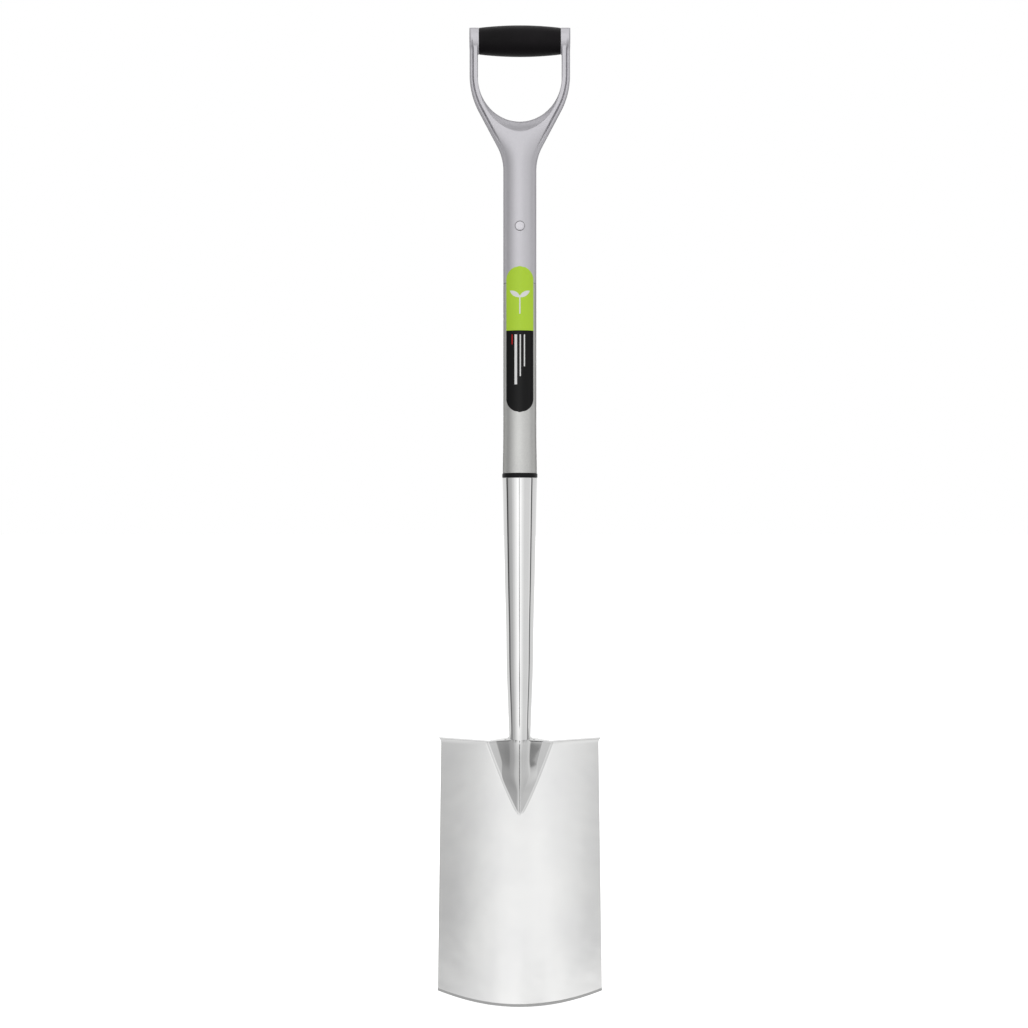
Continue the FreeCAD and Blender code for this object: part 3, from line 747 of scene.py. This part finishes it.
def column_places(long, rim_wide):
    """Where the columns stand along a row: (on a round section, on an arm's section)."""
    rim, groove = 22, 8
    rest = COLUMNS - rim - groove
    turns = spread_steps(0.0, math.pi / 2, rim)
    on_arm = [rim_wide * (1.0 - math.cos(turn) ** 0.8) for turn in turns[:-1]]
    on_arm += spread_steps(rim_wide, rim_wide + GROOVE_WIDE, groove)
    on_arm += spread_steps(rim_wide + GROOVE_WIDE, long, rest)[1:]
    on_round = [long * (1 - math.cos(turn)) for turn in spread_steps(0.0, math.pi / 2, COLUMNS)]
    return zip(on_round, on_arm)


def face_depth(across, height):
    """Depth of the front face anywhere on the shank, the Y and the arms' feet."""
    half = outline_half(height)
    slope = (outline_half(height + 1.0) - outline_half(height - 1.0)) / 2
    to_side = max(half - across, 0.0) / math.hypot(1.0, slope)
    full = depth_at(height)
    on_round = full * math.sqrt(max(1.0 - (across / half) ** 2, 0.0))
    return mix(on_round, arm_depth(to_side, full, RIM_DEPTH, RIM_WIDE, GROOVE), spread_at(height))


def row_across(inner, outer, depth=None, rim=(RIM_DEPTH, RIM_WIDE, GROOVE)):
    """Points from the outer side in to the face's inner edge. A row with a depth is an arm's own
    section; the others follow the one smooth face."""
    run = inner - outer
    long = run.length
    spread = 1.0 if depth else spread_at(outer.y)
    points = []
    for on_round, on_arm in column_places(long, rim[1]):
        at = mix(on_round, on_arm, min(spread * 2.5, 1.0))
        spot = outer + run * (at / long)
        deep = arm_depth(at, depth, *rim) if depth else face_depth(spot.x, spot.y)
        points.append((spot.x, -deep, spot.y))
    return points


# %% The hand opening's wall


def eye_spot(turn, deep):
    """A point of the opening's wall: turn runs from its bottom to its straight side."""
    rise = EYE_RISE + EYE_LIP * (deep / EYE_LIP_DEPTH) ** EYE_LIP_CURVE
    return Vector((EYE_HALF * math.sin(turn), EYE_Z - rise * math.cos(turn)))


def lip_depth(turn):
    """Depth of the face where it meets the opening's wall, found by a few corrections."""
    depth = ARM_DEPTH
    for _ in range(8):
        spot = eye_spot(turn, depth)
        depth = face_depth(spot.x + EDGE_ROUND * math.sin(turn), spot.y - EDGE_ROUND * math.cos(turn))
    return depth


def wall_points(spot_at, outward, depth):
    """From the face's inner edge round the lip and over to the parting plane. spot_at gives the
    wall's point at a depth, and outward points away from the opening."""
    edge = min(EDGE_ROUND, 0.8 * depth)
    spot = spot_at(depth)
    wall = [(spot_at(deep).x, -deep, spot_at(deep).y) for deep in spread_steps(depth - edge, 0.0, 3)]
    start = spot + outward * edge
    lip = []
    for share in (0.25, 0.5, 0.75):
        bezier = [(1 - share) ** 2, 2 * share * (1 - share), share ** 2]
        first, corner, last = (start.x, -depth, start.y), (spot.x, -depth, spot.y), wall[0]
        lip.append(tuple(bezier[0] * a + bezier[1] * b + bezier[2] * c
                         for a, b, c in zip(first, corner, last)))
    return start, lip + wall


def curved_wall(turn):
    """The wall at a turn round the opening's curved bottom."""
    outward = Vector((math.sin(turn), -math.cos(turn)))
    return wall_points(lambda deep: eye_spot(turn, deep), outward, lip_depth(turn))


def straight_wall(height, depth):
    """The wall at a height beside the opening's straight side."""
    return wall_points(lambda deep: Vector((EYE_HALF, height)), Vector((1, 0)), depth)


print("face ends", round(lip_depth(0.0), 1), "mm deep at the opening's bottom")

# %% Rows of the moulding


def yoke_rows():
    """Rows of the quarter, from the bore's end up to the arm's top. Rows beside the opening
    carry its wall as extra columns; the others repeat their last point there."""
    rows = []

    def add(row, wall=None):
        rows.append(row + (wall or [row[-1]] * WALL_COLUMNS))

    def ring(radius, height):
        turns = [math.pi / 2 * column / COLUMNS for column in range(COLUMNS + 1)]
        add([(radius * math.cos(turn), -radius * math.sin(turn), height) for turn in turns])

    bore, foot = BORE_R, YOKE_LOW.z
    ring(0.0, BORE_END)
    for radius, height in ((bore, BORE_END), (bore, foot + 0.3), (bore + 0.3, foot), (SHAFT_R - 0.2, foot),
                           (SHAFT_R - 0.06, foot + 0.06), (SHAFT_R, foot + 0.2), (SHAFT_R, foot + 1.5)):
        ring(radius, height)
    lip_start, _ = curved_wall(0.0)
    for height in spread_steps(foot + 6.0, BORE_END - 1.0, 34):
        add(row_across(Vector((0, height)), Vector((SHAFT_R, height))))
    for share in spread_steps(0.0, 1.0, 46):
        inner = mix(FAN_START, lip_start.y, share)
        outer = mix(FAN_START, FAN_FOOT, share)
        add(row_across(Vector((0, inner)), Vector((outline_half(outer), outer))))
    for share in spread_steps(0.0, 1.0, 64):
        outer = FAN_FOOT + FAN_RISE * share + (EYE_Z - FAN_FOOT - FAN_RISE) * share ** 2
        inner, wall = curved_wall(share * math.pi / 2)
        add(row_across(inner, Vector((outline_half(outer), outer))), wall)
    swing = math.acos(ARM_DEPTH / BOSS_R)
    for height in spread_steps(EYE_Z + 4.0, AXIS_Z - BOSS_R * math.sin(swing) - 3.0, 8):
        inner, wall = straight_wall(height, ARM_DEPTH)
        add(row_across(inner, Vector((ARM_HALF, height)), ARM_DEPTH), wall)
    for turn in spread_steps(-swing, math.pi / 2 - 0.05, 34):
        height, depth = AXIS_Z + BOSS_R * math.sin(turn), BOSS_R * math.cos(turn)
        inner, wall = straight_wall(height, depth)
        head = ease(height, AXIS_Z - 20.0, AXIS_Z + 3.0)
        rim = (mix(RIM_DEPTH, depth, head), mix(RIM_WIDE, 2.4, head), GROOVE * (1 - head))
        add(row_across(inner, Vector((mix(ARM_HALF, BOSS_OUT, head), height)), depth, rim), wall)
    add([(across, 0.0, AXIS_Z + BOSS_R) for across in spread_steps(BOSS_OUT, EYE_HALF, COLUMNS)])
    return rows


def mirrored(points, faces):
    """The quarter with its mirror images across both middle planes."""
    all_points, all_faces = [], []
    for across, through_y in ((1, 1), (-1, 1), (1, -1), (-1, -1)):
        base = len(all_points)
        all_points += [(across * x, through_y * y, z) for x, y, z in points]
        all_faces += [tuple(base + index for index in face) for face in faces]
    return all_points, all_faces


def make_yoke():
    """The whole moulding, without the faces that would lie on its middle plane."""
    rows = yoke_rows()
    columns = len(rows[0])
    points = [spot for row in rows for spot in row]
    faces = [face for face in grid_faces(len(rows), columns)
             if any(abs(points[index][0]) > 0.001 for index in face)]
    return mesh_of("handle_moulding", *mirrored(points, faces), CRISP_FROM)


def cut_away(piece, cutters):
    """Takes each cutter's shape out of the piece."""
    for cutter in cutters:
        cut = piece.modifiers.new("cut", "BOOLEAN")
        cut.operation, cut.object, cut.solver = "DIFFERENCE", cutter, "EXACT"
    bpy.context.view_layer.update()
    solved = piece.evaluated_get(bpy.context.evaluated_depsgraph_get())
    done = bpy.data.meshes.new_from_object(solved)
    piece.modifiers.clear()
    piece.data = done
    done.set_sharp_from_angle(angle=math.radians(CRISP_FROM))
    for cutter in cutters:
        bpy.data.objects.remove(cutter)


def rivet_sink(hand):
    """The shallow round seat that a rivet head is set in."""
    low, high = hand * SEAT, hand * (SEAT + 3.0)
    return turned("rivet_sink", [(0.0, low), (SINK_R, low), (SINK_R, high), (0.0, high)], "y", RIVET_Z)


SINK_R = HEAD_R + 0.35
moulding = make_yoke()
cut_away(moulding, [rivet_sink(-1), rivet_sink(1)])
yoke = fit_piece(moulding, "handle_yoke", SILVER)
print("handle is", round(yoke.dimensions.x / MM, 1), "mm wide")

# %% [markdown]
# ## The grip and its ends
# The grip is a soft barrel pushed over the moulding's bar, thicker at its middle so that it
# fills the palm. The arms end in round cheeks that hold it. Both are turned about
# the grip's own axis, so the same lathe makes them.

# %% Grip, cheeks and bar
BAR_R, GRIP_END_R, GRIP_MID_R = 12.0, 15.4, GRIP_HIGH.z - AXIS_Z
CHEEK_R = BOSS_R - 0.04


def barrel(along):
    """The grip's radius: an arc through its middle and its two ends."""
    sagitta, half = GRIP_MID_R - GRIP_END_R, GRIP_HIGH.x
    arc_r = (half ** 2 + sagitta ** 2) / (2 * sagitta)
    return GRIP_MID_R - arc_r + math.sqrt(arc_r ** 2 - along ** 2)


def make_grip():
    """The barrel, with its ends turned in to the bar."""
    end, ease_r = GRIP_HIGH.x, 0.9
    skin = [(barrel(along), along) for along in spread_steps(-end + 1.6, end - 1.6, 48)]
    bore = BAR_R + SLIDE_FIT
    right = rounded([(*skin[-1], 0), (barrel(end), end, ease_r), (bore, end, 0)], 5)
    left = rounded([(bore, -end, 0), (barrel(end), -end, ease_r), (*skin[0], 0)], 5)
    outline = skin[:-1] + [tuple(spot) for spot in right] + [tuple(spot) for spot in left[:-1]]
    return turned("grip_barrel", outline, "x", AXIS_Z)


grip = fit_piece(make_grip(), "grip", GRIP_RUBBER)


def add_cheeks():
    """The round cheeks at the grip's ends and the bar between them, joined to the moulding."""
    bar_end = BOSS_IN + 1.0
    outlines = [[(BAR_R, -bar_end), (BAR_R, bar_end), (0, bar_end), (0, -bar_end)]]
    for hand in (-1, 1):
        inner, outer = hand * BOSS_IN, hand * (EYE_HALF + 3.0)
        cheek = rounded([(CHEEK_R, outer, 0.5), (CHEEK_R, inner, 0.7),
                         (BAR_R - 1.0, inner, 0), (BAR_R - 1.0, outer, 0)])
        outlines.append([tuple(spot) for spot in cheek])
    joined = bmesh.new()
    joined.from_mesh(yoke.data)
    for index, outline in enumerate(outlines):
        extra = turned(f"cheek_{index}", outline, "x", AXIS_Z)
        joined.from_mesh(extra.data)
        bpy.data.objects.remove(extra)
    joined.to_mesh(yoke.data)
    joined.free()


add_cheeks()
print("grip is", round(2 * GRIP_MID_R, 1), "mm thick at its middle")

# %% [markdown]
# ## The sticker
# A printed film runs down the shaft: a green head with a plain sprout on it, and a black tail
# with three plain bars where a maker would print words. A picture file could be wrapped round
# the film, but it would blur close up. A little arithmetic on the sticker's coordinates draws
# these few shapes instead, so they stay sharp at any distance.

# %% The sticker's film
LABEL_LOW, LABEL_HIGH = box_mm("label")
LABEL_HALF = LABEL_HIGH.x
LABEL_R = SHAFT_R + 0.02


def make_label():
    """A thin skin on the shaft, with round ends seen from the front."""
    rows, columns, thick = 120, 40, 0.2
    points = []
    for radius in (LABEL_R + thick, LABEL_R):
        for height in spread_steps(LABEL_LOW.z, LABEL_HIGH.z, rows):
            into_end = max(LABEL_LOW.z + LABEL_HALF - height, height - LABEL_HIGH.z + LABEL_HALF, 0.0)
            half = math.sqrt(max(LABEL_HALF ** 2 - into_end ** 2, 0.01))
            for share in spread_steps(-1.0, 1.0, columns):
                angle = share * math.asin(half / SHAFT_R)
                points.append((radius * math.sin(angle), -radius * math.cos(angle), height))
    wide, layer = columns + 1, (rows + 1) * (columns + 1)
    faces = grid_faces(rows + 1, wide)
    faces += [tuple(layer + index for index in face[::-1]) for face in faces]
    rim = [row * wide for row in range(rows + 1)] + [rows * wide + step for step in range(1, wide)]
    rim += [row * wide + columns for row in range(rows - 1, -1, -1)]
    rim += [step for step in range(columns - 1, 0, -1)]
    for here, there in zip(rim, rim[1:] + rim[:1]):
        faces.append((here, there, layer + there, layer + here))
    return mesh_of("label_film", points, faces)


# %% The sticker's print
PRINT_BLACK, PRINT_GREEN = (0.004, 0.004, 0.0045), (0.43, 0.65, 0.045)
PRINT_RED, PRINT_WHITE = (0.45, 0.01, 0.01), (0.72, 0.72, 0.72)
GREEN_FROM, LEAF_R = 0.56, 11.0


def label_print():
    """Green head, black tail, a white sprout of two leaves, three pale bars and a short red one."""
    film = Finish("label_print_film", (0.3, 0.5, 0.03), 0.0, 0.3)
    parts = film.add("ShaderNodeSeparateXYZ", Vector=film.place).outputs

    def maths(operation, *values):
        """One step of arithmetic on numbers or textures."""
        step = film.tree.nodes.new("ShaderNodeMath")
        step.operation = operation
        for value, socket in zip(values, step.inputs):
            film.feed(value, socket)
        return step.outputs[0]

    def circle(x, z, radius):
        """1 inside a circle round (x, z), in millimetres."""
        across = maths("SUBTRACT", parts["X"], x * MM)
        up = maths("SUBTRACT", parts["Z"], z * MM)
        squares = maths("ADD", maths("MULTIPLY", across, across), maths("MULTIPLY", up, up))
        return maths("LESS_THAN", maths("SQRT", squares), radius * MM)

    def block(low, high, left, right):
        """1 inside an upright box."""
        tests = [maths("GREATER_THAN", parts["Z"], low * MM), maths("LESS_THAN", parts["Z"], high * MM),
                 maths("GREATER_THAN", parts["X"], left * MM), maths("LESS_THAN", parts["X"], right * MM)]
        inside = tests[0]
        for test in tests[1:]:
            inside = maths("MULTIPLY", inside, test)
        return inside

    split = mix(LABEL_LOW.z, LABEL_HIGH.z, GREEN_FROM)
    base = film.tint(maths("GREATER_THAN", parts["Z"], split * MM), PRINT_BLACK, PRINT_GREEN)
    middle = mix(split, LABEL_HIGH.z, 0.5)
    leaves = [maths("MULTIPLY", circle(hand * 1.0, middle + 12.0, LEAF_R),
                     circle(hand * 10.0, middle - 2.0, LEAF_R)) for hand in (-1, 1)]
    stem = block(middle - 18.0, middle + 2.0, -0.7, 0.7)
    white = maths("MAXIMUM", stem, maths("MAXIMUM", *leaves))
    tall = split - LABEL_LOW.z
    bars = [block(split - tall * foot, split - tall * 0.05, left, left + wide)
            for left, wide, foot in ((-6.2, 3.0, 0.66), (-0.2, 1.4, 0.56), (4.6, 1.4, 0.44))]
    for bar in bars:
        white = maths("MAXIMUM", white, bar)
    red_bar = block(split - tall * 0.17, split - tall * 0.05, -9.6, -8.4)
    base = film.tint(red_bar, base, PRINT_RED)
    film.wire(Base_Color=film.tint(white, base, PRINT_WHITE),
              Roughness=film.between(film.noise(50.0), 0.26, 0.34))
    film.set(**{"Specular IOR Level": 0.14, "Coat Weight": 0.08, "Coat Roughness": 0.12})
    film.bumps((film.noise(300.0), 0.05, 0.02))
    return film.material


label = fit_piece(make_label(), "label", label_print())

# %% [markdown]
# ## The studio
# Polished steel has no look of its own: it shows the room. A product studio therefore puts big
# soft lamps round the camera, a white cloth behind, and narrow dark gaps between them. Those
# gaps draw the thin dark lines down each side of the socket. The room is painted into the
# world's light as brightness against the angle away from the front. Four such profiles, to the
# right, to the left, up and down, are blended into each other.

# %% Lamps, gaps and backcloth
LAMPS_RIGHT = [(0, 1.75), (6, 1.5), (24, 1.15), (34, 1.0), (68, 1.0), (78, 1.15), (83, 0.9),
               (85, 0.06), (91, 0.06), (95, 0.8), (104, 1.0), (180, 1.0)]
LAMPS_LEFT = [(0, 1.75), (14, 1.65), (30, 1.3), (46, 0.95), (62, 0.68), (80, 0.6), (89, 0.35),
              (92, 0.05), (100, 0.05), (104, 0.9), (110, 1.0), (180, 1.0)]
LAMPS_ABOVE = [(0, 1.6), (8, 1.45), (18, 1.1), (30, 1.2), (45, 1.5), (70, 1.0), (82, 0.9),
               (98, 1.3), (108, 1.3), (180, 1.0)]
LAMPS_BELOW = [(0, 1.7), (10, 1.35), (22, 1.1), (38, 0.75), (60, 0.4), (90, 0.25), (150, 0.9),
               (180, 1.0)]
STAND_AT, STAND_HALF = math.radians(-3.4), math.radians(3.0)
STAND_DARK, SHADE_DARK, FLOOR_GLOW = 0.9, 0.33, 0.42

def studio_room():
    """World light from four profiles: (degrees away from the front, brightness)."""
    world = bpy.data.worlds.new("studio_room")
    bpy.context.scene.world = world
    world.use_nodes = True
    tree = world.node_tree
    tree.nodes.clear()

    def node(kind, **settings):
        fresh = tree.nodes.new(kind)
        for key, value in settings.items():
            setattr(fresh, key, value)
        return fresh

    def maths(operation, *values, clamp=False):
        """One step of arithmetic. clamp keeps its result between 0 and 1."""
        step = node("ShaderNodeMath", operation=operation, use_clamp=clamp)
        for value, socket in zip(values, step.inputs):
            if isinstance(value, bpy.types.NodeSocket):
                tree.links.new(value, socket)
            else:
                socket.default_value = value
        return step.outputs[0]

    look = node("ShaderNodeSeparateXYZ")
    tree.links.new(node("ShaderNodeTexCoord").outputs["Generated"], look.inputs[0])
    x, y, z = look.outputs
    away = maths("DIVIDE", maths("ARCCOSINE", maths("MULTIPLY", y, -1.0)), math.pi)

    def profile(stops):
        """Brightness by angle. A ramp's colours end at 1, so it holds half the brightness."""
        ramp = node("ShaderNodeValToRGB")
        ramp.color_ramp.interpolation = "EASE"
        while len(ramp.color_ramp.elements) < len(stops):
            ramp.color_ramp.elements.new(0.5)
        for element, (angle, level) in zip(ramp.color_ramp.elements, stops):
            element.position = angle / 180.0
            element.color = (level / 2, level / 2, level / 2, 1.0)
        tree.links.new(away, ramp.inputs[0])
        return maths("MULTIPLY", ramp.outputs[0], 2.0)

    right, left, above, below = (profile(stops) for stops in (
        LAMPS_RIGHT, LAMPS_LEFT, LAMPS_ABOVE, LAMPS_BELOW))
    flat = maths("ADD", maths("MULTIPLY", x, x), maths("MULTIPLY", z, z))
    flat = maths("MAXIMUM", flat, 1e-5)
    tall_share = maths("DIVIDE", maths("MULTIPLY", z, z), flat)

    def blend(first, second, share):
        return maths("ADD", first, maths("MULTIPLY", maths("SUBTRACT", second, first), share))

    sideways = blend(left, right, maths("ADD", maths("MULTIPLY", x, 4.0), 0.5, clamp=True))
    upright = blend(below, above, maths("ADD", maths("MULTIPLY", z, 4.0), 0.5, clamp=True))
    room = blend(sideways, upright, tall_share)
    # A thin shade lies beside each front lamp, in a band just above eye level.
    band = maths("MULTIPLY", maths("MULTIPLY", z, 30.0, clamp=True),
                  maths("MULTIPLY_ADD", z, -6.5, 1.3, clamp=True))
    aside = maths("MULTIPLY_ADD", maths("ABSOLUTE", x), 4.0, -0.3, clamp=True)
    shade = maths("MULTIPLY", band, aside)
    room = maths("MULTIPLY", room, maths("MULTIPLY_ADD", shade, -SHADE_DARK, 1.0))
    # The pale floor sends some light back up.
    bounce = maths("MINIMUM", maths("MULTIPLY", z, -1.3), FLOOR_GLOW)
    room = maths("MAXIMUM", room, bounce)
    # The camera's stand is a dark upright with a gap in it, below eye level.
    turn = maths("ARCTAN2", x, maths("MULTIPLY", y, -1.0))
    off_stand = maths("ABSOLUTE", maths("SUBTRACT", turn, STAND_AT))
    low = maths("MULTIPLY_ADD", z, -5.0, 0.3, clamp=True)
    stand = maths("MULTIPLY", maths("LESS_THAN", off_stand, STAND_HALF), low)
    past_gap = maths("GREATER_THAN", maths("ABSOLUTE", maths("ADD", z, 0.235)), 0.045)
    stand = maths("MULTIPLY", stand, maths("MULTIPLY", past_gap, maths("GREATER_THAN", z, -0.6)))
    room = maths("MULTIPLY", room, maths("MULTIPLY_ADD", stand, -STAND_DARK, 1.0))
    seen = node("ShaderNodeLightPath").outputs["Is Camera Ray"]
    backcloth = node("ShaderNodeBackground")
    backcloth.inputs["Color"].default_value = (1.0, 1.0, 1.0, 1.0)
    tree.links.new(blend(room, 1.0, seen), backcloth.inputs["Strength"])
    tree.links.new(backcloth.outputs[0], node("ShaderNodeOutputWorld").inputs[0])


studio_room()
print("the room is", bpy.context.scene.world.name)

# %% [markdown]
# The floor is one wide pale sheet under the spade. A plain white sheet would take on shadows and
# turn grey towards the back, so this one also glows a little, and it fades into the backcloth.
# It isn't mirrored in the steel, because the room's light already holds its glow.

# %% The floor
FLOOR_HALF, FLOOR_DROP = 60.0, 0.0005


def lay_floor():
    """A wide pale sheet, half a millimetre under the cutting edge, that glows as lit paper does."""
    wide = FLOOR_HALF
    corners = [(-wide, -wide, 0), (wide, -wide, 0), (wide, wide, 0), (-wide, wide, 0)]
    mesh = bpy.data.meshes.new("studio_floor")
    mesh.from_pydata(corners, [], [(0, 1, 2, 3)])
    floor = bpy.data.objects.new("studio_floor", mesh)
    bpy.context.scene.collection.objects.link(floor)
    floor.location.z = -FLOOR_DROP
    paper = Finish("floor_paper", (0.8, 0.8, 0.8), 0.0, 1.0)
    paper.set(**{"Emission Color": (1.0, 1.0, 1.0, 1.0), "Emission Strength": 0.5})
    mesh.materials.append(paper.material)
    floor.visible_glossy = False
    floor.visible_diffuse = False


lay_floor()

# %% [markdown]
# ## The camera
# A spade's picture is taken from a few metres away with a long lens, so that the blade at the
# bottom and the grip at the top keep their true proportions. The camera is level and as high as
# the spade's middle, so the shaft's sides stay upright in the picture.

# %% The camera
CAMERA_ASIDE, CAMERA_AWAY, CAMERA_HEIGHT = -0.0068, 2.8, 0.5712
SENSOR, LENS, SEES_TO = 36.0, 83.95, 200.0


def set_camera():
    """A level camera in front of the spade, looking along +y."""
    camera = bpy.data.cameras.new("studio_camera")
    stand = bpy.data.objects.new("studio_camera", camera)
    bpy.context.scene.collection.objects.link(stand)
    stand.location = (CAMERA_ASIDE, -CAMERA_AWAY, CAMERA_HEIGHT)
    stand.rotation_euler = (math.pi / 2, 0.0, 0.0)
    camera.sensor_width, camera.lens, camera.clip_end = SENSOR, LENS, SEES_TO
    bpy.context.scene.camera = stand
    print("camera is", CAMERA_AWAY, "m away with a", round(LENS), "mm lens")


set_camera()
bpy.context.scene.view_settings.view_transform = "Standard"
